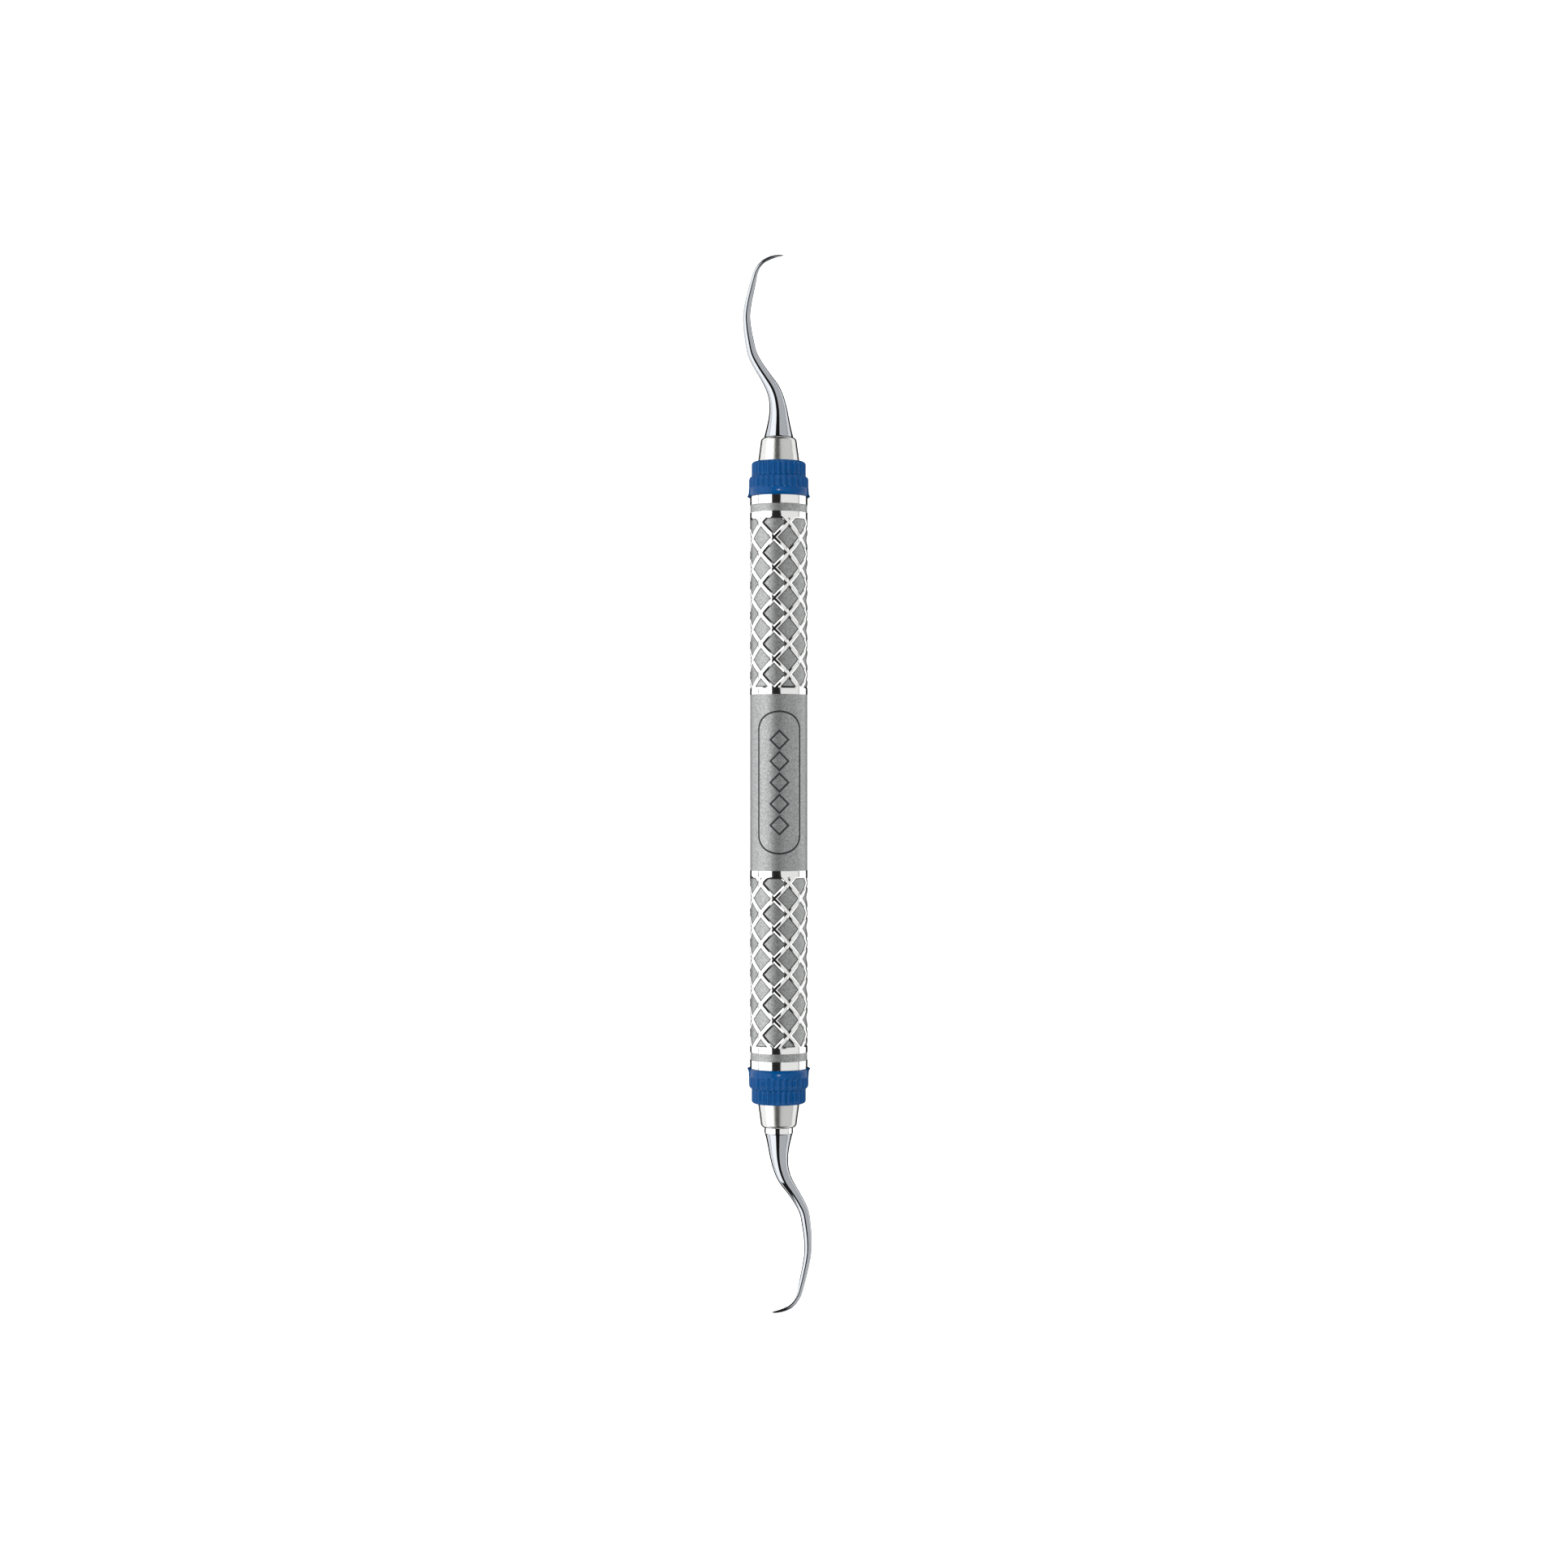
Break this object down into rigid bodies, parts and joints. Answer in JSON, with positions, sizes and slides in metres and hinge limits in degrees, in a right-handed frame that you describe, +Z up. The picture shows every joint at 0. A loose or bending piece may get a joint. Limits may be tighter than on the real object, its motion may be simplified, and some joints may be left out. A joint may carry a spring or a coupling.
{
  "type": "hand scaler",
  "caption": "Double-ended periodontal hand scaler: hollow diamond-knurled steel handle, fluted silicone grip rings, turned cones and curved curette tips.",
  "frame": {"origin": "middle of the handle on its axis, which is also the middle of the whole scaler", "axes": "+Y along the handle towards the upper tip, +X across the picture plane of the bends, +Z up as the scaler lies on its rings"},
  "size_m": [0.0114, 0.175, 0.0104],
  "materials": {
    "handle_steel": "polished ridges and bands, bead-blasted pockets and centre",
    "cone_steel": "satin, fine turned",
    "ring_silicone": "moulded, satin",
    "tip_steel": "mirror polished"
  },
  "bodies": {
    "root": {"handle_tube": "handle_steel", "upper_end_cone": "cone_steel", "lower_end_cone": "cone_steel", "upper_grip_ring": "ring_silicone", "lower_grip_ring": "ring_silicone", "upper_working_end": "tip_steel", "lower_working_end": "tip_steel"}
  },
  "joints": []
}
